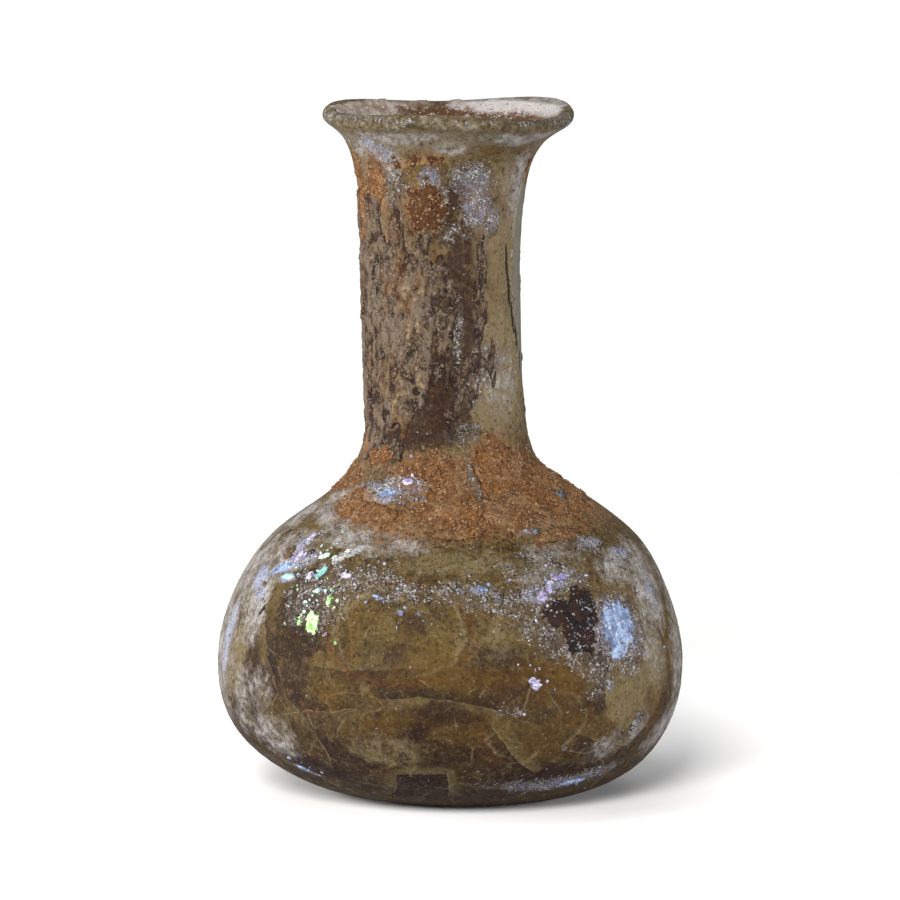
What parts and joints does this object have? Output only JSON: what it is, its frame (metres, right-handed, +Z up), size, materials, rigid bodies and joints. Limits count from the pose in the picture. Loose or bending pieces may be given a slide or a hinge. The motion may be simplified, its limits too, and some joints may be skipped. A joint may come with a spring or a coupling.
{
  "type": "glass flask",
  "caption": "Small free-blown glass flask with a squat domed body, a cylinder neck and a flared lip, crusted and iridescent from burial. It stands on its underside.",
  "frame": {"origin": "middle of the flask's plan box, on the surface that it stands on", "axes": "+Z up along the neck, -Y towards the front, +X to the right of the front"},
  "size_m": [0.0584, 0.0584, 0.0856],
  "materials": {
    "aged_glass": "olive-brown translucent glass, dulled and pitted, with flakes of iridescence",
    "burial_earth": "dry granular orange-brown earth, matt"
  },
  "bodies": {
    "root": {"flask": "aged_glass"}
  },
  "joints": []
}
